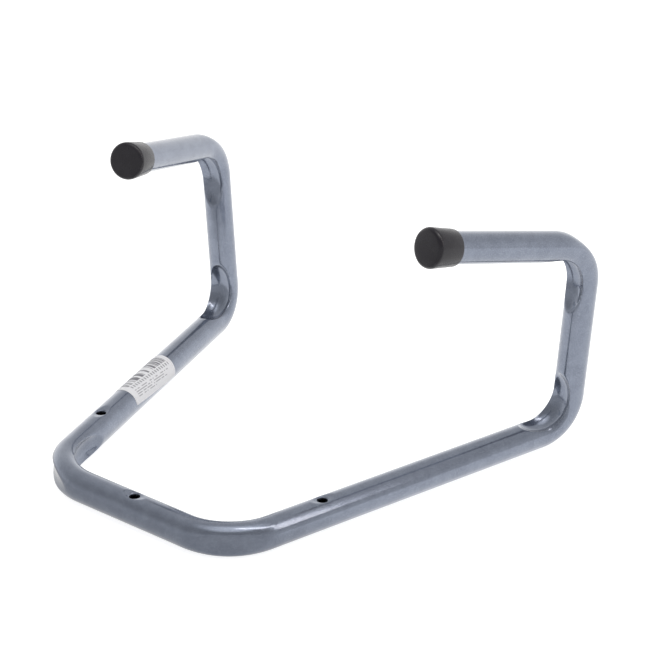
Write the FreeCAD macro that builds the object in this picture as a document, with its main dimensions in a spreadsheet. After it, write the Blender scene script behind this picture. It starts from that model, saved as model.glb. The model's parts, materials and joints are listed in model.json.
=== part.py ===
"""Wall storage hook bent from one steel tube.

The hook lies on its back, as on a bench: the wall plane is z = 0 and +Z points away from the wall.
The origin is on the axis of the crossbar's screw hole, in the wall plane. The crossbar runs along X, the
two legs splay from it towards +Y, and each leg turns up into a riser and back into an arm.
The two sides are mirror images in x = 0, so only the right-hand side is built and the left is mirrored.
"""
import FreeCAD, Part
import os

import Sketcher

DIMENSIONS = {
    # tube stock
    "tube_od": 20,
    "tube_wall": 1.5,
    # centreline, between the points where the straight runs would meet
    "bar_half": 72,
    "leg_length": 268,
    "riser_height": 129,
    "arm_length": 133.5,
    "leg_splay": 16,
    "side_lean": 3.6,
    "arm_rise": 13,
    # centreline radii of the three bends on each side
    "corner_radius": 40,
    "foot_radius": 25,
    "elbow_radius": 32,
    # dent that the bending die leaves inside each bend
    "corner_dent": 5,
    "foot_dent": 5.5,
    "elbow_dent": 5.5,
    "dent_nose": 7,
    # screw holes, and the shallow dimple that the punch leaves round each
    "hole_diameter": 6.5,
    "leg_hole_offset": 69,
    "dimple_depth": 1.2,
    "dimple_ball": 27,
    # end caps: wall thickness at the closed face and at the open rim
    "cap_length": 20,
    "cap_floor": 3,
    "cap_face_wall": 2.45,
    "cap_rim_wall": 1.25,
    "cap_fit": 0.05,
    "cap_edge": 2,
    "cap_lip": 0.5,
    # adhesive label wrapped on the left leg
    "label_length": 58,
    "label_width": 40,
    "label_film": 0.12,
    "label_gap": 0.02,
    "label_start": 102,
    "label_low_edge": 98,
}
# Frames are read as: Z along the tube, X towards the centre of the next bend.
QUARTER_FLIP = "rotation(vector(0; 1; 1); 180)"
BAR_FRAME = "placement(vector(0; 0; sizes.tube_od / 2); rotation(vector(1; 1; 1); 120))"
UNTURNED = "rotation(vector(0; 0; 1); 0)"

doc = FreeCAD.newDocument("wall_hook")


def make_sheet():
    """Write every driving dimension in a cell of its own, with its name as the cell's alias."""
    sheet = doc.addObject("Spreadsheet::Sheet", "sizes")
    for row, (name, value) in enumerate(DIMENSIONS.items(), start=1):
        cell = f"A{row}"
        sheet.set(cell, str(value))
        sheet.setAlias(cell, name)
    doc.recompute()
    return sheet


def add(kind, name, **expressions):
    """Add an object and bind its properties to expressions."""
    item = doc.addObject(kind, name)
    for prop, expression in expressions.items():
        item.setExpression(prop, expression)
    return item


def combine(kind, name, base, tool):
    """Cut or join two objects."""
    item = doc.addObject(kind, name)
    item.Base = base
    item.Tool = tool
    return item


def fuse(name, pieces):
    """Join several objects into one."""
    item = doc.addObject("Part::MultiFuse", name)
    item.Shapes = pieces
    return item


def mirror(name, source):
    """The other side's twin of an object, mirrored in x = 0."""
    item = doc.addObject("Part::Mirroring", name)
    item.Source = source
    item.Normal = FreeCAD.Vector(1, 0, 0)
    return item


# ---- centreline: straight runs and bends, each placed from the one before it ----

CORNER_ANGLE = "(90 - sizes.leg_splay)"
FOOT_ANGLE = "90"
ELBOW_ANGLE = "(90 - sizes.arm_rise)"


def tangent(radius, angle):
    """Length that a bend takes off each of the two runs that it joins."""
    return f"sizes.{radius} * tan({angle} * 1 deg / 2)"


RUN_LENGTH = {
    "bar": f"sizes.bar_half - {tangent('corner_radius', CORNER_ANGLE)}",
    "leg": f"sizes.leg_length - {tangent('corner_radius', CORNER_ANGLE)}"
           f" - {tangent('foot_radius', FOOT_ANGLE)}",
    "riser": f"sizes.riser_height - {tangent('foot_radius', FOOT_ANGLE)}"
             f" - {tangent('elbow_radius', ELBOW_ANGLE)}",
    "arm": f"sizes.arm_length - {tangent('elbow_radius', ELBOW_ANGLE)}",
}
# bend: the run before it, the run after it, its radius, its angle, the roll of its plane, its dent's depth
BENDS = {
    "corner": ("bar", "leg", "corner_radius", CORNER_ANGLE, "0", "corner_dent"),
    "foot": ("leg", "riser", "foot_radius", FOOT_ANGLE, "90 + sizes.side_lean", "foot_dent"),
    "elbow": ("riser", "arm", "elbow_radius", ELBOW_ANGLE, "0", "elbow_dent"),
}


def make_chain(prefix, radius, die_radius):
    """One side of the tube as a solid bar of the given radius, from x = 0 to the arm's end, dented."""
    runs, dented = {}, {}

    def add_run(name, frame):
        runs[name] = dented[name] = add("Part::Cylinder", f"{prefix}_{name}", Radius=radius,
                                        Height=RUN_LENGTH[name], Placement=frame)

    add_run("bar", BAR_FRAME)
    for name, (before, after, bend_radius, angle, roll, depth) in BENDS.items():
        start = runs[before].Name
        dented[name] = add(
            "Part::Torus", f"{prefix}_{name}", Radius1=f"sizes.{bend_radius}", Radius2=radius, Angle3=angle,
            Placement=f"{start}.Placement * placement(vector(0; 0; {start}.Height);"
                      f" rotation(vector(0; 0; 1); {roll}))"
                      f" * placement(vector(sizes.{bend_radius}; 0; 0); {QUARTER_FLIP})")
        end = dented[name].Name
        add_run(after, f"{end}.Placement * placement(vector(0; 0; 0); rotation(vector(0; 0; 1); {angle}))"
                       f" * placement(vector(sizes.{bend_radius}; 0; 0); {QUARTER_FLIP})")
        die = add(
            "Part::Torus", f"{prefix}_{name}_die",
            Radius1=f"sizes.{bend_radius} - sizes.tube_od / 2 + sizes.{depth} - sizes.dent_nose",
            Radius2=die_radius, Placement=f"{end}.Placement")
        for piece in (before, name, after):
            dented[piece] = combine("Part::Cut", f"{prefix}_{piece}_less_{name}_die", dented[piece], die)
    return fuse(f"{prefix}_dented", list(dented.values())), runs


def at_leg_hole():
    """Frame of the leg's screw hole: on the leg's centreline, Z straight out of the wall."""
    along = f"sizes.leg_hole_offset - {tangent('corner_radius', CORNER_ANGLE)}"
    return f"skin_leg.Placement * placement(vector(0; 0; {along}); rotation(vector(1; 0; 0); -90))"


def make_tube():
    """The bent tube: outer skin less bore, dimpled and drilled, with its mirrored half."""
    skin, runs = make_chain("skin", "sizes.tube_od / 2", "sizes.dent_nose")
    bore, _ = make_chain("bore", "sizes.tube_od / 2 - sizes.tube_wall", "sizes.dent_nose + sizes.tube_wall")
    bar_hole = f"placement(vector(0; 0; sizes.tube_od / 2); {UNTURNED})"
    balls, ball_offsets, drills = [], [], []
    for name, frame in (("bar", bar_hole), ("leg", at_leg_hole())):
        lift = "sizes.tube_od / 2 - sizes.dimple_depth + sizes.dimple_ball"
        place = f"{frame} * placement(vector(0; 0; {lift}); {UNTURNED})"
        balls.append(add("Part::Sphere", f"{name}_ball", Radius="sizes.dimple_ball", Placement=place))
        ball_offsets.append(add("Part::Sphere", f"{name}_ball_offset",
                                Radius="sizes.dimple_ball + sizes.tube_wall", Placement=place))
        drills.append(add("Part::Cylinder", f"{name}_drill", Radius="sizes.hole_diameter / 2",
                          Height="2 * sizes.tube_od",
                          Placement=f"{frame} * placement(vector(0; 0; -sizes.tube_od); {UNTURNED})"))
    skin = combine("Part::Cut", "dimpled_skin", skin, fuse("balls", balls))
    bore = combine("Part::Cut", "dimpled_bore", bore, fuse("ball_offsets", ball_offsets))
    half = combine("Part::Cut", "half_tube", combine("Part::Cut", "open_half", skin, bore),
                   fuse("drills", drills))
    tube = fuse("steel_tube", [half, mirror("other_half", half)])
    tube.Refine = True
    return tube, runs


# ---- end caps ----
# The cap's own frame is at its open rim, with Z along the arm towards the closed face.

CAP_BORE = "(sizes.tube_od / 2 + sizes.cap_fit)"
# the outline of half a cap: radius, then height above the rim
CAP_OUTLINE = [
    ("0", "sizes.cap_length - sizes.cap_floor"),
    (CAP_BORE, "sizes.cap_length - sizes.cap_floor"),
    (CAP_BORE, "0"),
    (f"{CAP_BORE} + sizes.cap_rim_wall", "0"),
    (f"{CAP_BORE} + sizes.cap_face_wall", "sizes.cap_length"),
    ("0", "sizes.cap_length"),
]
# the same outline drawn roughly, for the constraints to size
CAP_ROUGH = [(0, 17), (10, 17), (10, 0), (11, 0), (12, 20), (0, 20)]
X_AXIS, Y_AXIS = -1, -2
ORIGIN, START, END = (-1, 1), 1, 2


def draw_cap_profile(body):
    """Sketch of half a cap in the body's XZ plane, each corner tied to the sheet."""
    sketch = body.newObject("Sketcher::SketchObject", "cap_profile")
    xz_plane = next(plane for plane in body.Origin.OriginFeatures if plane.Role == "XZ_Plane")
    sketch.AttachmentSupport = [(xz_plane, "")]
    sketch.MapMode = "FlatFace"
    corners = [FreeCAD.Vector(x, y, 0) for x, y in CAP_ROUGH]
    for start, end in zip(corners, corners[1:] + corners[:1]):
        sketch.addGeometry(Part.LineSegment(start, end), False)
    for i in range(len(corners)):
        sketch.addConstraint(Sketcher.Constraint("Coincident", i, END, (i + 1) % len(corners), START))
    for i, (rough, values) in enumerate(zip(CAP_ROUGH, CAP_OUTLINE)):
        for kind, axis, guess, value in zip(("DistanceX", "DistanceY"), (Y_AXIS, X_AXIS), rough, values):
            if value == "0":
                sketch.addConstraint(Sketcher.Constraint("PointOnObject", i, START, axis))
                continue
            number = sketch.addConstraint(Sketcher.Constraint(kind, *ORIGIN, i, START, guess))
            sketch.setExpression(f"Constraints[{number}]", value)
    return sketch


def rounded(body, name, base, radius, at_radius, at_height):
    """Round the circular edge of the cap that has that radius and height."""
    doc.recompute()
    for number, edge in enumerate(base.Shape.Edges, start=1):
        circle = edge.Curve
        if isinstance(circle, Part.Circle) and abs(circle.Radius - at_radius) < 1e-6 \
                and abs(circle.Center.z - at_height) < 1e-6:
            break
    else:
        raise RuntimeError(f"{name}: the edge to round is missing")
    fillet = body.newObject("PartDesign::Fillet", name)
    fillet.Base = (base, [f"Edge{number}"])
    fillet.setExpression("Radius", radius)
    return fillet


def make_cap(sheet, arm):
    """Flared cap turned about the arm's centreline, pushed on until its floor meets the tube's end."""
    body = doc.addObject("PartDesign::Body", "right_end_cap")
    sketch = draw_cap_profile(body)
    turned = body.newObject("PartDesign::Revolution", "cap_turned")
    turned.Profile = sketch
    turned.ReferenceAxis = (sketch, ["V_Axis"])
    turned.Angle = 360
    bore = sheet.tube_od / 2 + sheet.cap_fit
    soft_face = rounded(body, "cap_soft_face", turned, "sizes.cap_edge",
                        bore + sheet.cap_face_wall, sheet.cap_length)
    rounded(body, "cap_soft_rim", soft_face, "sizes.cap_lip", bore + sheet.cap_rim_wall, 0)
    seat = f"{RUN_LENGTH['arm']} + sizes.cap_fit - (sizes.cap_length - sizes.cap_floor)"
    body.setExpression("Placement", f"{arm.Name}.Placement * placement(vector(0; 0; {seat}); {UNTURNED})")
    return body


# ---- label ----

def make_label():
    """Thin paper band part of the way round the right leg's place; its mirror image is the real one."""
    along = f"sizes.label_start - {tangent('corner_radius', CORNER_ANGLE)}"
    frame = (f"skin_leg.Placement * placement(vector(0; 0; {along});"
             " rotation(vector(0; 0; 1); 90 - sizes.label_low_edge))")
    under = "sizes.tube_od / 2 + sizes.label_gap"
    wrap = "sizes.label_width / (sizes.tube_od / 2) * 180 / pi"
    film = add("Part::Cylinder", "label_outside", Radius=f"{under} + sizes.label_film",
               Height="sizes.label_length", Angle=wrap, Placement=frame)
    core = add("Part::Cylinder", "label_inside", Radius=under, Height="sizes.label_length", Placement=frame)
    return combine("Part::Cut", "label_band", film, core)


# ---- the whole hook ----

def main():
    """Build every sub-part, check it and write it to its own STEP file."""
    sheet = make_sheet()
    tube, runs = make_tube()
    cap = make_cap(sheet, runs["arm"])
    sub_parts = {
        "steel_tube": tube,
        "right_end_cap": cap,
        "left_end_cap": mirror("cap_twin", cap),
        "paper_label": mirror("label", make_label()),
    }
    doc.recompute()
    for item in doc.Objects:
        if {"Invalid", "Error"} & set(item.State):
            raise RuntimeError(f"{item.Name} failed: {item.State}")
    for node, item in sub_parts.items():
        item.Label = node
        if item.Shape.isNull() or not item.Shape.isValid() or not item.Shape.Solids:
            raise RuntimeError(f"{node} has no valid solid")
    os.makedirs("parts", exist_ok=True)
    for item in sub_parts.values():
        item.Shape.exportStep(f"parts/{item.Label}.step")
        box = item.Shape.optimalBoundingBox(False)
        print(f"{item.Label}: {len(item.Shape.Solids)} solid, {item.Shape.Volume / 1000:.2f} cm3,"
              f" x {box.XMin:.1f}..{box.XMax:.1f}, y {box.YMin:.1f}..{box.YMax:.1f},"
              f" z {box.ZMin:.1f}..{box.ZMax:.1f}")


main()
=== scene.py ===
"""Looks of a wall storage hook: one bent, powder-coated steel tube with two end caps and a paper label.

The tube, the caps and the label are modelled here with the crushed bends, punched dimples, rounded edges and
print that the plain construction model leaves out. Every length is in metres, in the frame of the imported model.
"""
from __future__ import annotations

import json
import logging
import math
from contextlib import contextmanager
from dataclasses import dataclass, field
from enum import Enum
from itertools import zip_longest
from typing import Callable, Iterator, Optional, Sequence

import bpy
from mathutils import Matrix, Vector

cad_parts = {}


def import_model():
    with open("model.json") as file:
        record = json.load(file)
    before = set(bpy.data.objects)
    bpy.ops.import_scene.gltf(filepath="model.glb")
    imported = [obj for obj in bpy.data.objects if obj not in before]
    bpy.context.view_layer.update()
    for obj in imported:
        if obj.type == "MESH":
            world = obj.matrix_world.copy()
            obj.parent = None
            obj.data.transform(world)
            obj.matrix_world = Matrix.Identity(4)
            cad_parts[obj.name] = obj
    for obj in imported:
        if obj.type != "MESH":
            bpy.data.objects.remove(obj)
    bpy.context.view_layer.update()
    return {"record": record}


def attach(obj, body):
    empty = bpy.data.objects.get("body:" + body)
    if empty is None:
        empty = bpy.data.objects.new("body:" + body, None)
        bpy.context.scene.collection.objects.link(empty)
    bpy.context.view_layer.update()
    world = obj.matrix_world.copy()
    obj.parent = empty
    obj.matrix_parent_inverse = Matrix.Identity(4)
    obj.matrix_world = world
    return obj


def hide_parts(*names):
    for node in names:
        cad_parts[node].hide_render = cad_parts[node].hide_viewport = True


log = logging.getLogger("wall_hook")

MM = 0.001
UP = Vector((0.0, 0.0, 1.0))
BODY = "root"
# lengths, radii and points nearer than these count as the same, and a step may be this share too long
SLACK = 0.01 * MM
RADIUS_SLACK = 0.02 * MM
DOUBLES = 0.002 * MM
STEP_EXCESS = 0.001

Triple = tuple[float, float, float]
Colour = tuple[float, float, float, float]
Span = tuple[float, float]


class Side(Enum):
    """The two mirror-image sides of the hook; the value is the sign of x."""

    RIGHT = 1
    LEFT = -1

    @property
    def flip(self) -> Matrix:
        """What takes a piece of the right-hand side to this one."""
        return Matrix.Scale(self.value, 4, Vector((1.0, 0.0, 0.0)))


# ---- helpers for modelling by operator ----

def deselect_all() -> None:
    """Leave object mode's selection empty."""
    bpy.ops.object.select_all(action="DESELECT")


def make_active(obj: bpy.types.Object) -> None:
    """Select one object alone and make it active.

    Args:
        obj: the object to work on.
    """
    deselect_all()
    obj.select_set(True)
    bpy.context.view_layer.objects.active = obj


@contextmanager
def editing(obj: bpy.types.Object) -> Iterator[None]:
    """Work on an object in edit mode, and leave edit mode afterwards.

    Args:
        obj: the mesh object to edit.
    """
    make_active(obj)
    bpy.ops.object.mode_set(mode="EDIT")
    try:
        yield
    finally:
        bpy.ops.object.mode_set(mode="OBJECT")


@contextmanager
def editing_edges(obj: bpy.types.Object) -> Iterator[None]:
    """Work on an object's selected edges in edit mode, and go back to points afterwards.

    Args:
        obj: the mesh object to edit.
    """
    with editing(obj):
        bpy.ops.mesh.select_mode(type="EDGE")
        yield
        bpy.ops.mesh.select_mode(type="VERT")


def settle(obj: bpy.types.Object) -> None:
    """Bake an object's place, turn and scale into its mesh.

    Args:
        obj: the object to settle at the origin.
    """
    make_active(obj)
    bpy.ops.object.transform_apply(location=True, rotation=True, scale=True)


def apply_modifier(obj: bpy.types.Object, kind: str, **settings: object) -> None:
    """Add a modifier, set it up and apply it at once.

    Args:
        obj: the object to modify.
        kind: the modifier's type.
        settings: its properties by name.
    """
    make_active(obj)
    modifier = obj.modifiers.new(kind.lower(), kind)
    for name, value in settings.items():
        setattr(modifier, name, value)
    bpy.ops.object.modifier_apply(modifier=modifier.name)


def point_normals_out(obj: bpy.types.Object) -> None:
    """Merge doubled points and turn every face outwards.

    Args:
        obj: a closed mesh, or an open one without its wall.
    """
    with editing(obj):
        bpy.ops.mesh.select_all(action="SELECT")
        bpy.ops.mesh.remove_doubles(threshold=DOUBLES)
        bpy.ops.mesh.normals_make_consistent(inside=False)


def select_edges(mesh: bpy.types.Mesh, wanted: Callable[[Vector, Vector], bool]) -> None:
    """Select the edges whose two ends pass a test. Called in object mode.

    Args:
        mesh: the mesh whose selection is set.
        wanted: tells from an edge's two ends whether it is selected.
    """
    points = mesh.vertices
    for element in (*mesh.polygons, *points):
        element.select = False
    for edge in mesh.edges:
        start, end = (points[i] for i in edge.vertices)
        edge.select = wanted(start.co, end.co)
        if edge.select:
            start.select = True
            end.select = True


def select_ring(mesh: bpy.types.Mesh, height: float, radius: float) -> None:
    """Select the edges of a level circle round the Z axis. Called in object mode.

    Args:
        mesh: the mesh whose selection is set.
        height: height of the circle.
        radius: radius of the circle.
    """
    select_edges(mesh, lambda *ends: all(
        abs(p.z - height) < SLACK and abs(math.hypot(p.x, p.y) - radius) < RADIUS_SLACK for p in ends))


def extrude_rings(foot: Vector, stations: Sequence[Span]) -> None:
    """Extrude the selected ring along its upright axis through a row of sizes. Called in edit mode.

    Args:
        foot: the axis's point at height 0.
        stations: height and radius of the selected ring, then of each new one.
    """
    for (height, radius), (next_height, next_radius) in zip(stations, stations[1:]):
        bpy.ops.mesh.extrude_region_move(TRANSFORM_OT_translate={"value": UP * (next_height - height)})
        factor = next_radius / radius
        bpy.ops.transform.resize(value=(factor, factor, 1.0), center_override=foot + UP * next_height)


def shade_smooth(obj: bpy.types.Object, degrees: float) -> None:
    """Shade an object smooth, except across its sharper edges.

    Args:
        obj: the object to shade.
        degrees: edges that turn by more than this stay sharp.
    """
    make_active(obj)
    bpy.ops.object.shade_smooth_by_angle(angle=math.radians(degrees))


def smooth_min(a: float, b: float, blend: float) -> float:
    """The lesser of two heights, rounded over where they cross.

    Args:
        a: one height.
        b: the other height.
        blend: how far apart the two may be and still be rounded together.

    Returns:
        The blended height, never above either.
    """
    overlap = max(blend - abs(a - b), 0.0) / blend
    return min(a, b) - overlap * overlap * blend / 4.0


def fade(distance: float, reach: float) -> float:
    """A bell that is 1 at nought and 0 from the reach outwards.

    Args:
        distance: how far along from the middle.
        reach: where the bell ends.

    Returns:
        A weight from 0 to 1.
    """
    if abs(distance) >= reach:
        return 0.0
    return math.cos(0.5 * math.pi * distance / reach) ** 2


def smooth_hump(value: float, ease: float) -> float:
    """Nought below nought, easing quickly into a straight rise.

    Args:
        value: the height to clip.
        ease: how near to nought the rise is eased.

    Returns:
        The clipped height.
    """
    return -smooth_min(-value, 0.0, ease)


# ---- the bent tube ----

@dataclass(frozen=True)
class Crush:
    """How a bending die deforms the tube at one bend.

    The reaches are in tube radii: how far the flattening runs on past the arc, and how far from the centreline a
    point still belongs to this bend.
    """

    dish_depth: float
    dish_nose: float
    back_flat: float
    rim_blend: float = 0.9 * MM
    flat_blend: float = 2.5 * MM
    hollow: float = 0.0
    hollow_width: float = 6.0 * MM
    hollow_share: float = 0.75
    hollow_ease: float = 0.12
    widen: float = 0.06
    run_out_reach: float = 0.6
    outer_reach: float = 1.5


@dataclass(frozen=True)
class Bend:
    """An arc of the centreline between two straight runs."""

    start: Vector
    along: Vector
    inward: Vector
    radius: float
    angle: float
    crush: Crush

    @property
    def centre(self) -> Vector:
        """Centre of the arc."""
        return self.start + self.inward * self.radius

    @property
    def normal(self) -> Vector:
        """Unit normal of the bend's plane, about which the tube turns."""
        return self.along.cross(self.inward)

    @property
    def half_length(self) -> float:
        """Half of the arc's length along the centreline."""
        return self.radius * self.angle / 2.0

    @property
    def trim(self) -> float:
        """What the bend takes off each of the two runs that it joins."""
        return self.radius * math.tan(self.angle / 2.0)

    def dish_reach(self, tube_radius: float) -> float:
        """How far the inner dish runs on past the arc.

        Args:
            tube_radius: outer radius of the tube.

        Returns:
            The length along the straight run.
        """
        inner = self.radius - tube_radius
        return math.sqrt((inner + self.crush.dish_depth) ** 2 - inner ** 2)

    def locate(self, point: Vector) -> tuple[float, float, float, Vector]:
        """Where a point is, seen from the bend.

        Args:
            point: a point on or near the tube.

        Returns:
            Its distance along the centreline from the bend's middle, its distance from the centreline towards
            the bend's centre, its distance out of the bend's plane, and the direction towards the centre there.
        """
        offset = point - self.centre
        across = offset.dot(self.normal)
        turn = math.atan2(offset.dot(self.along), -offset.dot(self.inward))
        clamped = min(max(turn, 0.0), self.angle)
        spin = Matrix.Rotation(clamped, 3, self.normal)
        inward, along = spin @ self.inward, spin @ self.along
        past = offset.dot(along) if turn != clamped else 0.0
        depth = self.radius + offset.dot(inward)
        return self.radius * (clamped - self.angle / 2.0) + past, depth, across, inward

    def crushed(self, point: Vector, tube_radius: float) -> Vector:
        """Move a point of the round tube to where the die leaves it.

        Args:
            point: a point on the round tube.
            tube_radius: outer radius of the tube.

        Returns:
            The moved point, or the same one if the bend doesn't reach it.
        """
        crush = self.crush
        travel, depth, across, inward = self.locate(point)
        reach = self.half_length + self.dish_reach(tube_radius) + crush.rim_blend
        if abs(travel) > reach or math.hypot(depth, across) > crush.outer_reach * tube_radius:
            return point
        new_depth = depth
        past = max(abs(travel) - self.half_length, 0.0)
        if depth > 0.0 and abs(across) < crush.dish_nose:
            ring = self.radius - tube_radius + crush.dish_depth - crush.dish_nose
            nose = ring + math.sqrt(crush.dish_nose ** 2 - across ** 2)
            if nose > past:
                die = self.radius - math.sqrt(nose ** 2 - past ** 2)
                new_depth = smooth_min(depth, die, crush.rim_blend)
        weight = fade(travel, self.half_length + crush.run_out_reach * tube_radius)
        if depth < 0.0:
            flat = -smooth_min(-depth, tube_radius - crush.back_flat, crush.flat_blend)
            new_depth = depth + (flat - depth) * weight
            hollow_half = crush.hollow_share * self.half_length
            spread = (travel / hollow_half) ** 2 + (across / crush.hollow_width) ** 2
            new_depth += crush.hollow * smooth_hump(1.0 - spread, crush.hollow_ease)
        new_across = across * (1.0 + crush.widen * weight)
        return point + inward * (new_depth - depth) + self.normal * (new_across - across)


@dataclass(frozen=True)
class Run:
    """A straight run of the centreline, and the stretches of it that need closely spaced rings."""

    start: Vector
    along: Vector
    length: float
    detail: tuple[Span, ...]


@dataclass
class BentTube:
    """The whole frame, bent from one steel tube, dished at its bends and punched for three screws."""

    radius: float = 10.0 * MM
    wall: float = 1.5 * MM
    bar_half: float = 72.0 * MM
    leg_length: float = 268.0 * MM
    riser_height: float = 129.0 * MM
    arm_length: float = 133.5 * MM
    leg_splay: float = math.radians(16.0)
    side_lean: float = math.radians(3.6)
    arm_rise: float = math.radians(13.0)
    corner_radius: float = 40.0 * MM
    foot_radius: float = 25.0 * MM
    elbow_radius: float = 32.0 * MM
    leg_hole_offset: float = 69.0 * MM
    corner: Crush = Crush(dish_depth=6.8 * MM, dish_nose=12.0 * MM, back_flat=1.5 * MM, hollow=1.8 * MM,
                          widen=0.05)
    foot: Crush = Crush(dish_depth=6.6 * MM, dish_nose=11.0 * MM, back_flat=1.2 * MM, widen=0.07)
    elbow: Crush = Crush(dish_depth=6.2 * MM, dish_nose=10.0 * MM, back_flat=3.3 * MM)
    dimple_depth: float = 1.2 * MM
    dimple_ball: float = 27.0 * MM
    dimple_blend: float = 0.25 * MM
    dimple_detail: float = 9.5 * MM
    dimple_reach: float = 12.0 * MM
    dimple_lowest: float = 3.0 * MM
    dish_margin: float = 2.0 * MM
    lip_round: float = 0.8 * MM
    lip_steps: int = 6
    lip_turn: float = math.radians(81.0)
    drill_span: Span = (-2.0 * MM, 24.0 * MM)
    drill_flare: float = 0.6 * MM
    drill_segments: int = 48
    segments: int = 88
    fine_step: float = 1.1 * MM
    coarse_step: float = 7.0 * MM
    bore_segments: int = 44
    bore_fine_step: float = 2.75 * MM
    bore_coarse_step: float = 14.0 * MM
    middle_slack: float = 0.4 * MM
    end_slack: float = 0.1 * MM
    end_reach: float = 15.0 * MM
    sharp_degrees: float = 35.0
    runs: list[Run] = field(init=False)
    bends: list[Bend] = field(init=False)

    def __post_init__(self) -> None:
        """Lay out the right-hand half of the centreline."""
        leg = Vector((math.sin(self.leg_splay), math.cos(self.leg_splay), 0.0))
        outward = Vector((math.cos(self.leg_splay), -math.sin(self.leg_splay), 0.0))
        riser = UP * math.cos(self.side_lean) + outward * math.sin(self.side_lean)
        arm = riser * math.sin(self.arm_rise) - leg * math.cos(self.arm_rise)
        corners = [Vector((0.0, 0.0, self.radius))]
        for direction, length in ((Vector((1.0, 0.0, 0.0)), self.bar_half), (leg, self.leg_length),
                                  (riser, self.riser_height), (arm, self.arm_length)):
            corners.append(corners[-1] + direction * length)
        bend_sizes = ((self.corner_radius, self.corner), (self.foot_radius, self.foot),
                      (self.elbow_radius, self.elbow))
        self.bends = [self._bend(*corners[i:i + 3], *size) for i, size in enumerate(bend_sizes)]
        self.runs = []
        for i, (start, end) in enumerate(zip(corners, corners[1:])):
            along = (end - start).normalized()
            cut_start = self.bends[i - 1].trim if i > 0 else 0.0
            cut_end = self.bends[i].trim if i < len(self.bends) else 0.0
            length = (end - start).length - cut_start - cut_end
            detail = self._detail(i, length, cut_start)
            self.runs.append(Run(start + along * cut_start, along, length, detail))

    @staticmethod
    def _bend(before: Vector, corner: Vector, after: Vector, radius: float, crush: Crush) -> Bend:
        """The arc that rounds one corner of the centreline."""
        along, onward = (corner - before).normalized(), (after - corner).normalized()
        inward = (onward - along * along.dot(onward)).normalized()
        angle = along.angle(onward)
        return Bend(corner - along * radius * math.tan(angle / 2.0), along, inward, radius, angle, crush)

    def _detail(self, index: int, length: float, cut_start: float) -> tuple[Span, ...]:
        """The stretches of a run, from and to, that have a dish's end or a dimple."""
        spans = []
        if index > 0:
            spans.append((0.0, self.bends[index - 1].dish_reach(self.radius) + self.dish_margin))
        if index < len(self.bends):
            spans.append((length - self.bends[index].dish_reach(self.radius) - self.dish_margin, length))
        if index == 0:
            spans.append((0.0, self.dimple_detail))
        if index == 1:
            hole = self.leg_hole_offset - cut_start
            spans.append((hole - self.dimple_detail, hole + self.dimple_detail))
        return tuple(spans)

    def _sweep(self, name: str, segments: int, fine: float, coarse: float) -> bpy.types.Object:
        """Extrude and spin a ring along the right-hand half of the centreline."""
        deselect_all()
        bpy.ops.mesh.primitive_circle_add(vertices=segments, radius=self.radius, location=self.runs[0].start,
                                          rotation=(0.0, math.pi / 2.0, 0.0))
        tube = bpy.context.object
        tube.name = name
        settle(tube)
        with editing(tube):
            bpy.ops.mesh.select_all(action="SELECT")
            for run, bend in zip_longest(self.runs, self.bends):
                self._extrude_run(run, fine, coarse)
                if bend is not None:
                    steps = math.ceil(bend.radius * bend.angle / fine)
                    bpy.ops.mesh.spin(steps=steps, angle=-bend.angle, center=bend.centre, axis=bend.normal)
        return tube

    @staticmethod
    def _extrude_run(run: Run, fine: float, coarse: float) -> None:
        """Extrude the selected ring to the end of a run, in close steps where the run has detail."""
        place = 0.0
        while place < run.length - SLACK:
            longest = fine if any(low <= place + SLACK < high for low, high in run.detail) else coarse
            ahead = [low for low, _ in run.detail if low > place + SLACK]
            span = min([*ahead, run.length]) - place
            step = span / math.ceil(span / longest - STEP_EXCESS)
            bpy.ops.mesh.extrude_region_move(TRANSFORM_OT_translate={"value": run.along * step})
            place += step

    def _crush(self, tube: bpy.types.Object) -> None:
        """Dish, flatten and widen the tube at its bends, and dimple it round its holes."""
        holes = [Vector((0.0, 0.0, 0.0)), self.leg_hole()]
        for vertex in tube.data.vertices:
            point = vertex.co.copy()
            for bend in self.bends:
                point = bend.crushed(point, self.radius)
            for hole in holes:
                point = self._dimpled(point, hole)
            vertex.co = Vector((point.x, point.y, max(point.z, 0.0)))

    def _dimpled(self, point: Vector, hole: Vector) -> Vector:
        """Press a point of the tube's top into the shallow bowl round a hole."""
        spread = math.hypot(point.x - hole.x, point.y - hole.y)
        height = point.z - self.radius
        if spread > self.dimple_reach or height < self.dimple_lowest:
            return point
        bowl = self.radius - self.dimple_depth + spread * spread / (2.0 * self.dimple_ball)
        return Vector((point.x, point.y, self.radius + smooth_min(height, bowl, self.dimple_blend)))

    def leg_hole(self) -> Vector:
        """Where the right leg's screw hole is, in the wall plane."""
        leg = self.runs[1]
        place = leg.start + leg.along * (self.leg_hole_offset - self.bends[0].trim)
        return Vector((place.x, place.y, 0.0))

    def _drill_profile(self, hole_radius: float) -> list[Span]:
        """Heights and radii of a drill that rounds the lip of its hole in the dimple."""
        seat = 2.0 * self.radius - self.dimple_depth + hole_radius ** 2 / (2.0 * self.dimple_ball)
        low, high = self.drill_span
        profile = [(low, hole_radius), (seat - self.lip_round, hole_radius)]
        for i in range(1, self.lip_steps + 1):
            turn = self.lip_turn * i / self.lip_steps
            profile.append((seat - self.lip_round + self.lip_round * math.sin(turn),
                            hole_radius + self.lip_round * (1.0 - math.cos(turn))))
        profile.append((high, profile[-1][1] + self.drill_flare))
        return profile

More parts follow.
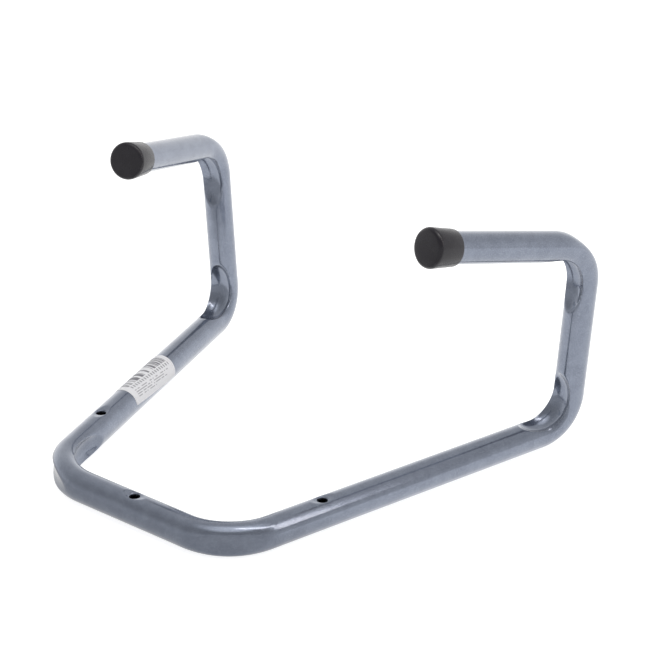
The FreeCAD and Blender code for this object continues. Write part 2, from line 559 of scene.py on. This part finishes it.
    def _drill(self, tube: bpy.types.Object, hole_radius: float, holes: Sequence[Vector]) -> None:
        """Cut the screw holes through both walls, with a rounded lip in each dimple."""
        profile = self._drill_profile(hole_radius)
        for hole in holes:
            deselect_all()
            bpy.ops.mesh.primitive_circle_add(vertices=self.drill_segments, radius=hole_radius, fill_type="NGON",
                                              location=hole + UP * profile[0][0])
            drill = bpy.context.object
            settle(drill)
            with editing(drill):
                bpy.ops.mesh.select_all(action="SELECT")
                extrude_rings(hole, profile)
                bpy.ops.mesh.select_all(action="SELECT")
                bpy.ops.mesh.normals_make_consistent(inside=False)
            apply_modifier(tube, "BOOLEAN", object=drill, operation="DIFFERENCE", solver="EXACT")
            bpy.data.objects.remove(drill, do_unlink=True)

    def arm_frame(self) -> Matrix:
        """The right arm's end: origin on the centreline at the tube's end, Z along the arm."""
        arm = self.runs[-1]
        end = arm.start + arm.along * arm.length
        side = self.bends[-1].normal.normalized()
        turned = Matrix((side, arm.along.cross(side), arm.along)).transposed()
        return Matrix.Translation(end) @ turned.to_4x4()

    def build(self, hole_radius: float, holes: Sequence[Vector]) -> bpy.types.Object:
        """Make the finished tube, both sides, hollow, with its holes.

        Args:
            hole_radius: radius of the screw holes.
            holes: where the holes' axes meet the wall plane.

        Returns:
            The tube's object.
        """
        tube = self._skin("bent_tube", self.segments, self.fine_step, self.coarse_step)
        bore = self._skin("bore", self.bore_segments, self.bore_fine_step, self.bore_coarse_step)
        with editing(bore):
            bpy.ops.mesh.select_all(action="SELECT")
            bpy.ops.transform.shrink_fatten(value=-self.wall)
            bpy.ops.mesh.flip_normals()
        self._close_end(tube, bore)
        for vertex in tube.data.vertices:
            if abs(vertex.co.x) < self.middle_slack:
                vertex.co.x = 0.0
        apply_modifier(tube, "MIRROR", use_axis=(True, False, False), merge_threshold=SLACK)
        self._drill(tube, hole_radius, holes)
        shade_smooth(tube, self.sharp_degrees)
        return tube

    def _skin(self, name: str, segments: int, fine: float, coarse: float) -> bpy.types.Object:
        """The tube's crushed outside, as an open sheet that faces outwards."""
        skin = self._sweep(name, segments, fine, coarse)
        self._crush(skin)
        point_normals_out(skin)
        return skin

    def _close_end(self, tube: bpy.types.Object, bore: bpy.types.Object) -> None:
        """Join the bore to the tube, with a face between their rings at the arm's end."""
        deselect_all()
        bore.select_set(True)
        tube.select_set(True)
        bpy.context.view_layer.objects.active = tube
        bpy.ops.object.join()
        rim = self.arm_frame().inverted()
        select_edges(tube.data, lambda *ends: all(
            abs(p.z) < self.end_slack and math.hypot(p.x, p.y) < self.end_reach for p in (rim @ e for e in ends)))
        with editing_edges(tube):
            bpy.ops.mesh.bridge_edge_loops()


# ---- end caps ----

@dataclass
class EndCap:
    """A flared black cap pushed over an arm's end, with a soft face edge and a rolled rim."""

    length: float = 20.0 * MM
    floor: float = 3.0 * MM
    bore: float = 10.05 * MM
    rim_radius: float = 11.3 * MM
    face_radius: float = 12.5 * MM
    face_round: float = 2.8 * MM
    rim_round: float = 0.7 * MM
    bore_round: float = 0.35 * MM
    round_steps: tuple[int, int, int] = (8, 4, 3)
    dome: float = 0.7 * MM
    dome_rings: tuple[Span, ...] = ((0.7, 0.55), (0.95, 0.25))
    segments: int = 96
    sharp_degrees: float = 40.0

    def build(self, name: str, seat: Matrix, side: Side) -> bpy.types.Object:
        """Model a cap and put it on an arm.

        Args:
            name: the piece's name.
            seat: frame of the right arm's end, Z along the arm.
            side: which arm it goes on.

        Returns:
            The cap's object.
        """
        deselect_all()
        bpy.ops.mesh.primitive_circle_add(vertices=self.segments, radius=self.bore, fill_type="TRIFAN")
        cap = bpy.context.object
        cap.name = name
        mouth = self.floor - self.length
        # from the floor's underside down the bore, round the rim, up the flare and in over the face
        stations = [(0.0, self.bore), (mouth, self.bore), (mouth, self.rim_radius), (self.floor, self.face_radius)]
        stations += [(self.floor + rise * self.dome, share * self.face_radius) for rise, share in self.dome_rings]
        with editing(cap):
            bpy.ops.mesh.select_all(action="SELECT")
            extrude_rings(Vector(), stations)
        # the extrusion carried the floor's underside away, so it is put back
        select_ring(cap.data, 0.0, self.bore)
        with editing_edges(cap):
            bpy.ops.mesh.edge_face_add()
        edges = ((self.floor, self.face_radius, self.face_round), (mouth, self.rim_radius, self.rim_round),
                 (mouth, self.bore, self.bore_round))
        for (height, radius, size), steps in zip(edges, self.round_steps):
            select_ring(cap.data, height, radius)
            with editing_edges(cap):
                bpy.ops.mesh.bevel(offset=size, segments=steps, profile=0.5)
        cap.matrix_world = side.flip @ seat
        settle(cap)
        point_normals_out(cap)
        shade_smooth(cap, self.sharp_degrees)
        return cap


# ---- adhesive label ----

@dataclass
class StuckLabel:
    """A paper label wrapped slightly askew round the left leg."""

    length: float = 58.0 * MM
    width: float = 40.0 * MM
    film: float = 0.12 * MM
    gap: float = 0.03 * MM
    start: float = 102.0 * MM
    low_edge: float = math.radians(98.0)
    skew: float = math.radians(5.0)
    corner_round: float = 1.5 * MM
    columns: int = 60
    rows: int = 56
    sharp_degrees: float = 40.0

    def build(self, name: str, tube: BentTube) -> bpy.types.Object:
        """Lay the label flat, wrap it on the leg and give it its thickness.

        Args:
            name: the piece's name.
            tube: the tube that it is stuck on.

        Returns:
            The label's object.
        """
        deselect_all()
        bpy.ops.mesh.primitive_grid_add(x_subdivisions=self.columns, y_subdivisions=self.rows, size=1.0)
        label = bpy.context.object
        label.name = name
        leg = tube.runs[1]
        inside = Vector((-leg.along.y, leg.along.x, 0.0))
        centre = leg.start + leg.along * (self.start - tube.bends[0].trim + self.length / 2.0)
        over = tube.radius + self.gap
        middle_turn = self.low_edge - self.width / 2.0 / over
        for vertex in label.data.vertices:
            flat = self._rounded(vertex.co.x * self.length, vertex.co.y * self.width)
            along = flat.x * math.cos(self.skew) - flat.y * math.sin(self.skew)
            around = flat.x * math.sin(self.skew) + flat.y * math.cos(self.skew)
            turn = middle_turn + around / over
            out = UP * math.cos(turn) + inside * math.sin(turn)
            vertex.co = centre + leg.along * along + out * over
        settle(label)
        point_normals_out(label)
        self._face_out(label, centre)
        apply_modifier(label, "SOLIDIFY", thickness=self.film, offset=1.0)
        label.matrix_world = Side.LEFT.flip
        settle(label)
        point_normals_out(label)
        shade_smooth(label, self.sharp_degrees)
        return label

    def _rounded(self, x: float, y: float) -> Vector:
        """Pull the points at the label's corners in to a small radius."""
        corner_x = self.length / 2.0 - self.corner_round
        corner_y = self.width / 2.0 - self.corner_round
        past = Vector((max(abs(x) - corner_x, 0.0), max(abs(y) - corner_y, 0.0), 0.0))
        if past.x > 0.0 and past.y > 0.0:
            past *= max(past.x, past.y) / past.length
            x = math.copysign(corner_x + past.x, x)
            y = math.copysign(corner_y + past.y, y)
        return Vector((x, y, 0.0))

    @staticmethod
    def _face_out(label: bpy.types.Object, centre: Vector) -> None:
        """Flip the open sheet if its faces look towards the tube."""
        face = label.data.polygons[len(label.data.polygons) // 2]
        if face.normal.dot(face.center - centre) < 0.0:
            with editing(label):
                bpy.ops.mesh.select_all(action="SELECT")
                bpy.ops.mesh.flip_normals()


# ---- finishes ----

class NodeBench:
    """A short way to place and link nodes in one tree."""

    def __init__(self, tree: bpy.types.NodeTree) -> None:
        """Start with a tree.

        Args:
            tree: the tree that the nodes go in.
        """
        self.tree = tree

    def add(self, kind: str, settings: Optional[dict] = None, **inputs: object) -> bpy.types.Node:
        """Place a node, set its options, and set or link its inputs.

        Args:
            kind: the node's type, without its "ShaderNode" prefix.
            settings: its options by name.
            inputs: values or sockets for its inputs, by name with underscores for spaces, or by i and number.

        Returns:
            The node.
        """
        node = self.tree.nodes.new(f"ShaderNode{kind}")
        for name, value in (settings or {}).items():
            setattr(node, name, value)
        self.fill(node, **inputs)
        return node

    def fill(self, node: bpy.types.Node, **inputs: object) -> None:
        """Set or link a node's inputs.

        Args:
            node: a node of the tree.
            inputs: as for add.
        """
        for name, value in inputs.items():
            key = int(name[1:]) if name[0] == "i" and name[1:].isdigit() else name.replace("_", " ")
            if isinstance(value, bpy.types.NodeSocket):
                self.tree.links.new(value, node.inputs[key])
            else:
                node.inputs[key].default_value = value

    def math(self, operation: str, *values: object) -> bpy.types.NodeSocket:
        """Place a Math node.

        Args:
            operation: what it works out.
            values: its numbers or sockets, in order.

        Returns:
            Its output.
        """
        inputs = {f"i{i}": value for i, value in enumerate(values)}
        return self.add("Math", {"operation": operation}, **inputs).outputs[0]

    def ramp(self, value: object, low: float, high: float, start: float = 0.0,
             end: float = 1.0) -> bpy.types.NodeSocket:
        """Map a range of values to another, smoothly and clamped.

        Args:
            value: the socket to map.
            low: the value that becomes start.
            high: the value that becomes end.
            start: the result at low.
            end: the result at high.

        Returns:
            The mapped value.
        """
        return self.add("MapRange", {"interpolation_type": "SMOOTHSTEP"}, i0=value, i1=low, i2=high, i3=start,
                        i4=end).outputs[0]

    def band(self, value: object, low: float, high: float, soft: float) -> bpy.types.NodeSocket:
        """A mask that is 1 between two values.

        Args:
            value: the socket to test.
            low: lower edge of the band.
            high: upper edge of the band.
            soft: half-width of each edge.

        Returns:
            The mask.
        """
        return self.math("MULTIPLY", self.ramp(value, low - soft, low + soft),
                         self.ramp(value, high - soft, high + soft, 1.0, 0.0))

    def mix(self, factor: object, first: object, second: object) -> bpy.types.NodeSocket:
        """Mix two colours.

        Args:
            factor: 0 for the first and 1 for the second.
            first: a colour or socket.
            second: a colour or socket.

        Returns:
            The mixed colour.
        """
        return self.add("Mix", {"data_type": "RGBA"}, i0=factor, i6=first, i7=second).outputs[2]


def empty_bench(owner: bpy.types.ID) -> NodeBench:
    """Clear the nodes of a material or a world.

    Args:
        owner: the material or world.

    Returns:
        Its bench, with nothing on it.
    """
    owner.use_nodes = True
    owner.node_tree.nodes.clear()
    return NodeBench(owner.node_tree)


def surface_grain() -> bpy.types.ShaderNodeTree:
    """The fine relief shared by the moulded caps, the label's paper and the coat's orange peel.

    Returns:
        The group: it takes a vector, the grain's size and how rough its detail is, and gives a height.
    """
    name = "surface_grain"
    if name in bpy.data.node_groups:
        return bpy.data.node_groups[name]
    group = bpy.data.node_groups.new(name, "ShaderNodeTree")
    for socket, way, kind in (("Vector", "INPUT", "Vector"), ("Grain Size", "INPUT", "Float"),
                              ("Detail", "INPUT", "Float"), ("Height", "OUTPUT", "Float")):
        group.interface.new_socket(socket, in_out=way, socket_type=f"NodeSocket{kind}")
    bench = NodeBench(group)
    enter = group.nodes.new("NodeGroupInput").outputs
    scale = bench.math("DIVIDE", 1.0, enter["Grain Size"])
    noise = bench.add("TexNoise", Vector=enter["Vector"], Scale=scale, Detail=enter["Detail"], Roughness=0.55)
    leave = group.nodes.new("NodeGroupOutput")
    group.links.new(noise.outputs[0], leave.inputs["Height"])
    return group


def grain_height(bench: NodeBench, vector: bpy.types.NodeSocket, size: float,
                 detail: float) -> bpy.types.NodeSocket:
    """Place the grain group in a material.

    Args:
        bench: the material's nodes.
        vector: the coordinates that the grain is drawn in.
        size: size of a grain in metres.
        detail: how many finer octaves it has.

    Returns:
        The height.
    """
    node = bench.add("Group", {"node_tree": surface_grain()}, Vector=vector, Grain_Size=size, Detail=detail)
    return node.outputs["Height"]


def new_material(name: str) -> tuple[bpy.types.Material, NodeBench, bpy.types.Node]:
    """Start a material with only a principled shader.

    Args:
        name: the material's name.

    Returns:
        The material, its bench and its shader.
    """
    material = bpy.data.materials.new(name)
    bench = empty_bench(material)
    shader = bench.add("BsdfPrincipled")
    bench.add("OutputMaterial", Surface=shader.outputs[0])
    return material, bench, shader


@dataclass(frozen=True)
class PowderCoat:
    """Glossy blue-grey powder coat with fine bright metal flecks and a little orange peel."""

    colour: Colour = (0.225, 0.255, 0.325, 1.0)
    deep_colour: Colour = (0.195, 0.222, 0.288, 1.0)
    cloud_size: float = 9.0 * MM
    cloud_edges: Span = (0.35, 0.65)
    fleck_colour: Colour = (0.38, 0.42, 0.51, 1.0)
    fleck_size: float = 0.3 * MM
    fleck_edges: Span = (0.70, 1.0)
    fleck_strength: float = 0.5
    metal: float = 0.8
    roughness: Span = (0.16, 0.23)
    varnish: float = 0.8
    varnish_roughness: float = 0.07
    varnish_ior: float = 1.5
    peel_size: float = 3.0 * MM
    peel_strength: float = 0.3
    flake_strength: float = 0.07
    relief: float = 0.03 * MM

    def make(self) -> bpy.types.Material:
        """Build the coat's material.

        Returns:
            The material.
        """
        material, bench, shader = new_material("blue_grey_powder_coat")
        place = bench.add("TexCoord").outputs["Object"]
        cells = bench.add("TexVoronoi", {"feature": "F1"}, Vector=place, Scale=1.0 / self.fleck_size)
        bright, glint, tilt = bench.add("SeparateColor", Color=cells.outputs["Color"]).outputs[:3]
        cloud = bench.ramp(grain_height(bench, place, self.cloud_size, detail=3.0), *self.cloud_edges)
        tint = bench.mix(cloud, self.deep_colour, self.colour)
        fleck = bench.math("MULTIPLY", bench.ramp(bright, *self.fleck_edges), self.fleck_strength)
        peel = bench.add("Bump", Strength=self.peel_strength, Distance=self.relief,
                         Height=grain_height(bench, place, self.peel_size, detail=2.0))
        flake = bench.add("Bump", Strength=self.flake_strength, Distance=self.relief, Height=tilt,
                          Normal=peel.outputs[0])
        bench.fill(shader, Base_Color=bench.mix(fleck, tint, self.fleck_colour), Metallic=self.metal,
                   Roughness=bench.ramp(glint, 0.0, 1.0, *self.roughness), Normal=flake.outputs[0],
                   Coat_Weight=self.varnish, Coat_Roughness=self.varnish_roughness, Coat_IOR=self.varnish_ior,
                   Coat_Normal=peel.outputs[0])
        return material


@dataclass(frozen=True)
class MouldedPlastic:
    """Black satin plastic with a fine moulded grain."""

    colour: Colour = (0.012, 0.0095, 0.0155, 1.0)
    rubbed_colour: Colour = (0.018, 0.0155, 0.022, 1.0)
    cloud_size: float = 6.0 * MM
    cloud_edges: Span = (0.4, 0.7)
    roughness: Span = (0.22, 0.31)
    grain_size: float = 0.6 * MM
    grain_strength: float = 0.35
    relief: float = 0.05 * MM

    def make(self) -> bpy.types.Material:
        """Build the caps' material.

        Returns:
            The material.
        """
        material, bench, shader = new_material("black_cap_plastic")
        place = bench.add("TexCoord").outputs["Object"]
        cloud = bench.ramp(grain_height(bench, place, self.cloud_size, detail=2.0), *self.cloud_edges)
        bump = bench.add("Bump", Strength=self.grain_strength, Distance=self.relief,
                         Height=grain_height(bench, place, self.grain_size, detail=3.0))
        bench.fill(shader, Base_Color=bench.mix(cloud, self.colour, self.rubbed_colour),
                   Roughness=bench.ramp(cloud, 0.0, 1.0, *self.roughness), Normal=bump.outputs[0])
        return material


@dataclass(frozen=True)
class LabelPaper:
    """White coated paper printed with plain bars, a row of ticks and four broken rules, with no lettering.

    The places are shares of the label's length or width, from and to.
    """

    paper: Colour = (0.95, 0.955, 0.985, 1.0)
    ink: Colour = (0.24, 0.24, 0.27, 1.0)
    margins: Span = (0.08, 0.93)
    bar_count: float = 96.0
    bar_gaps: float = 0.52
    bar_band: Span = (0.14, 0.635)
    tick_count: float = 21.0
    tick_width: Span = (0.2, 0.62)
    tick_band: Span = (0.66, 0.715)
    tick_ink: float = 0.8
    rules: tuple[Span, ...] = ((0.765, 0.86), (0.805, 0.74), (0.845, 0.80), (0.885, 0.52))
    rule_start: float = 0.10
    rule_half: float = 0.009
    rule_ink: float = 0.62
    rule_steps: float = 44.0
    rule_gaps: float = 0.24
    soft: float = 0.004
    fibre_size: float = 0.5 * MM
    fibre_edges: Span = (0.3, 0.7)
    fibre_strength: float = 0.3
    relief: float = 0.03 * MM
    roughness: Span = (0.42, 0.58)

    def make(self) -> bpy.types.Material:
        """Build the label's material.

        Returns:
            The material.
        """
        material, bench, shader = new_material("printed_label_paper")
        coords = bench.add("TexCoord")
        along, across = bench.add("SeparateXYZ", Vector=coords.outputs["UV"]).outputs[:2]
        fibre = grain_height(bench, coords.outputs["Object"], self.fibre_size, detail=4.0)
        bump = bench.add("Bump", Strength=self.fibre_strength, Distance=self.relief, Height=fibre)
        bench.fill(shader, Base_Color=bench.mix(self._print(bench, along, across), self.paper, self.ink),
                   Roughness=bench.ramp(fibre, *self.fibre_edges, *self.roughness), Normal=bump.outputs[0])
        return material

    def _print(self, bench: NodeBench, along: bpy.types.NodeSocket,
               across: bpy.types.NodeSocket) -> bpy.types.NodeSocket:
        """Where the ink is: bars, ticks above them and rules at the top, inside the margins."""
        bars = bench.math("GREATER_THAN", self._dice(bench, along, self.bar_count, seed=0.5), self.bar_gaps)
        bars = bench.math("MULTIPLY", bars, bench.band(across, *self.bar_band, 1.5 * self.soft))
        tick = bench.math("FRACT", bench.math("MULTIPLY", along, self.tick_count))
        ticks = bench.math("MULTIPLY", bench.band(tick, *self.tick_width, 15.0 * self.soft),
                           bench.band(across, *self.tick_band, 1.5 * self.soft))
        ink = bench.math("MAXIMUM", bars, bench.math("MULTIPLY", ticks, self.tick_ink))
        for i, (height, end) in enumerate(self.rules, start=1):
            dice = self._dice(bench, along, self.rule_steps, seed=100.5 * i)
            words = bench.math("GREATER_THAN", dice, self.rule_gaps)
            line = bench.band(across, height - self.rule_half, height + self.rule_half, self.soft)
            rule = bench.math("MULTIPLY", bench.math("MULTIPLY", line, words),
                              bench.band(along, self.rule_start, end, 2.5 * self.soft))
            ink = bench.math("MAXIMUM", ink, bench.math("MULTIPLY", rule, self.rule_ink))
        return bench.math("MULTIPLY", ink, bench.band(along, *self.margins, self.soft))

    @staticmethod
    def _dice(bench: NodeBench, along: bpy.types.NodeSocket, count: float,
              seed: float) -> bpy.types.NodeSocket:
        """A random value for each of so many steps along the label."""
        step = bench.math("ADD", bench.math("FLOOR", bench.math("MULTIPLY", along, count)), seed)
        return bench.add("TexWhiteNoise", {"noise_dimensions": "1D"}, W=step).outputs["Value"]


# ---- studio and camera ----

@dataclass(frozen=True)
class SoftBox:
    """A rectangular lamp, hung in a direction from the point that it is aimed at, its height along a line."""

    name: str
    direction: Triple
    distance: float
    width: float
    height: float
    power: float
    aim: Triple
    along: Triple
    colour: Triple = (1.0, 0.94, 0.90)

    def place(self) -> None:
        """Hang the lamp."""
        lamp = bpy.data.lights.new(self.name, "AREA")
        lamp.shape = "RECTANGLE"
        lamp.size, lamp.size_y = self.width, self.height
        lamp.energy = self.power
        lamp.color = self.colour
        holder = bpy.data.objects.new(self.name, lamp)
        bpy.context.scene.collection.objects.link(holder)
        towards = Vector(self.direction).normalized()
        across = Vector(self.along).cross(towards).normalized()
        turn = Matrix((across, towards.cross(across), towards)).transposed()
        place = Matrix.Translation(Vector(self.aim) + towards * self.distance)
        holder.matrix_world = place @ turn.to_4x4()


@dataclass(frozen=True)
class Viewpoint:
    """A camera above, in front and to the right of the hook, its turn given as its own axes."""

    place: Triple = (0.67047, -0.69673, 0.57293)
    right: Triple = (0.795798, 0.605452, 0.011554)
    down: Triple = (0.259918, -0.324275, -0.909554)
    ahead: Triple = (-0.546945, 0.726824, -0.415425)
    sensor_width: float = 36.0
    lens: float = 101.94
    shift: Span = (-0.01016, -0.0032)
    clip: Span = (0.01, 100.0)

    def set_up(self) -> None:
        """Place the camera and make it the scene's."""
        data = bpy.data.cameras.new("camera")
        data.sensor_width, data.lens = self.sensor_width, self.lens
        data.shift_x, data.shift_y = self.shift
        data.clip_start, data.clip_end = self.clip
        camera = bpy.data.objects.new("camera", data)
        bpy.context.scene.collection.objects.link(camera)
        turn = Matrix((self.right, -Vector(self.down), -Vector(self.ahead))).transposed()
        camera.matrix_world = Matrix.Translation(self.place) @ turn.to_4x4()
        bpy.context.scene.camera = camera


@dataclass
class Studio:
    """A white sweep with two narrow, slightly warm lamps above and to the right of the hook, and the camera."""

    boxes: tuple[SoftBox, ...] = (
        SoftBox("strip", direction=(0.648, 0.316, 0.693), distance=1.23, width=0.10, height=0.80, power=1.0,
                aim=(0.088, 0.047, 0.018), along=(0.77, -0.066, -0.64)),
        SoftBox("overhead", direction=(0.25, 0.20, 0.947), distance=1.25, width=0.15, height=0.72, power=1.35,
                aim=(0.07, 0.005, 0.018), along=(0.55, 0.14, -0.175)),
    )
    view: Viewpoint = Viewpoint()
    floor_size: float = 14.0
    floor_drop: float = 0.2 * MM
    floor_colour: Colour = (0.80, 0.80, 0.80, 1.0)
    floor_glow: float = 0.8
    mirror_glow: Span = (0.62, 1.2)
    mirror_edges: Span = (-0.03, 0.12)
    white: Colour = (1.0, 1.0, 1.0, 1.0)
    horizon: float = 1.1
    ceiling: float = 0.68
    wall_edges: Span = (0.12, 0.62)
    front: float = 0.6
    front_skew: float = -0.4
    front_edges: Span = (-0.5, 0.8)
    zenith: float = 1.0
    zenith_edges: Span = (0.86, 1.0)
    backdrop: float = 1.3

    def build(self) -> None:
        """Set up the floor, the surroundings, the lamps and the camera."""
        self._floor()
        self._surroundings()
        for box in self.boxes:
            box.place()
        self.view.set_up()
        bpy.context.scene.view_settings.view_transform = "Standard"

    def _floor(self) -> None:
        """Lay a pale floor that keeps the shadow, is white to the eye and darkens towards the front in gloss."""
        deselect_all()
        bpy.ops.mesh.primitive_plane_add(size=self.floor_size, location=(0.0, 0.0, -self.floor_drop))
        floor = bpy.context.object
        floor.name = "studio_floor"
        material = bpy.data.materials.new("studio_floor")
        bench = empty_bench(material)
        rays = bench.add("LightPath").outputs
        matt = bench.add("BsdfDiffuse", Color=self.floor_colour)
        glow = bench.add("Emission", Strength=bench.math("MULTIPLY", rays["Is Camera Ray"], self.floor_glow))
        lit = bench.add("AddShader", i0=matt.outputs[0], i1=glow.outputs[0])
        spot = bench.add("SeparateXYZ", Vector=bench.add("TexCoord").outputs["Object"])
        sheen = bench.add("Emission", Strength=bench.ramp(spot.outputs["Y"], *self.mirror_edges, *self.mirror_glow))
        mirrored = bench.math("MAXIMUM", rays["Is Glossy Ray"], rays["Is Transmission Ray"])
        both = bench.add("MixShader", i0=mirrored, i1=lit.outputs[0], i2=sheen.outputs[0])
        bench.add("OutputMaterial", Surface=both.outputs[0])
        floor.data.materials.append(material)

    def _surroundings(self) -> None:
        """Surround the object with a sweep that is white low down, grey in front and above, and bright at the top.

        The camera sees plain white wherever it looks.
        """
        world = bpy.data.worlds.new("studio")
        bpy.context.scene.world = world
        bench = empty_bench(world)
        way = bench.add("SeparateXYZ", Vector=bench.add("TexCoord").outputs["Generated"]).outputs
        wall = bench.ramp(way["Z"], *self.wall_edges, self.horizon, self.ceiling)
        ahead = bench.math("MULTIPLY_ADD", way["X"], self.front_skew, way["Y"])
        shade = bench.ramp(ahead, *self.front_edges, self.front, 1.0)
        zenith = bench.ramp(way["Z"], *self.zenith_edges, 0.0, self.zenith)
        sky = bench.math("MULTIPLY_ADD", wall, shade, zenith)
        seen = bench.math("MULTIPLY", bench.add("LightPath").outputs["Is Camera Ray"], self.backdrop)
        light = bench.add("Background", Color=self.white, Strength=bench.math("MAXIMUM", sky, seen))
        bench.add("OutputWorld", Surface=light.outputs[0])


# ---- putting it together ----

@dataclass
class WallHook:
    """The finished hook: its tube, two caps and label."""

    record: dict
    tube: BentTube = field(default_factory=BentTube)
    cap: EndCap = field(default_factory=EndCap)
    label: StuckLabel = field(default_factory=StuckLabel)

    def screw_holes(self) -> tuple[float, list[Vector]]:
        """Read the screw holes' radius and places from the record's mounts.

        Returns:
            The radius and the three places in the wall plane.
        """
        mounts = {mount["name"]: mount for mount in self.record["mounts"]}
        middle, pair = mounts["crossbar_screw_hole"], mounts["leg_screw_holes"]
        half = pair["dims"]["spacing_x_mm"] * MM / 2.0
        centre = Vector(pair["pos_m"])
        spread = Vector((half, 0.0, 0.0))
        return middle["dims"]["r_mm"] * MM, [Vector(middle["pos_m"]), centre + spread, centre - spread]

    def build(self) -> None:
        """Build, dress and attach every piece."""
        tube = self.tube.build(*self.screw_holes())
        self._finish(tube, PowderCoat().make(), "powder_coat", "steel_tube")
        plastic = MouldedPlastic().make()
        seat = self.tube.arm_frame()
        for side in Side:
            name = f"{side.name.lower()}_cap"
            cap = self.cap.build(name, seat, side)
            self._finish(cap, plastic, "cap_plastic", f"{side.name.lower()}_end_cap")
        label = self.label.build("stuck_label", self.tube)
        self._finish(label, LabelPaper().make(), "label_paper", "paper_label")

    @staticmethod
    def _finish(piece: bpy.types.Object, material: bpy.types.Material, slot: str, node: str) -> None:
        """Dress a piece and put it in the place of its plain solid."""
        piece.data.materials.clear()
        piece.data.materials.append(material)
        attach(piece, BODY)
        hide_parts(node)
        piece.data.calc_loop_triangles()
        log.info("%s: %d triangles, finish %s", piece.name, len(piece.data.loop_triangles), material.name)


def main() -> None:
    """Build the hook in its studio."""
    logging.basicConfig(level=logging.INFO, format="%(name)s: %(message)s")
    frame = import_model()
    WallHook(frame["record"]).build()
    Studio().build()


if __name__ == "__main__":
    main()
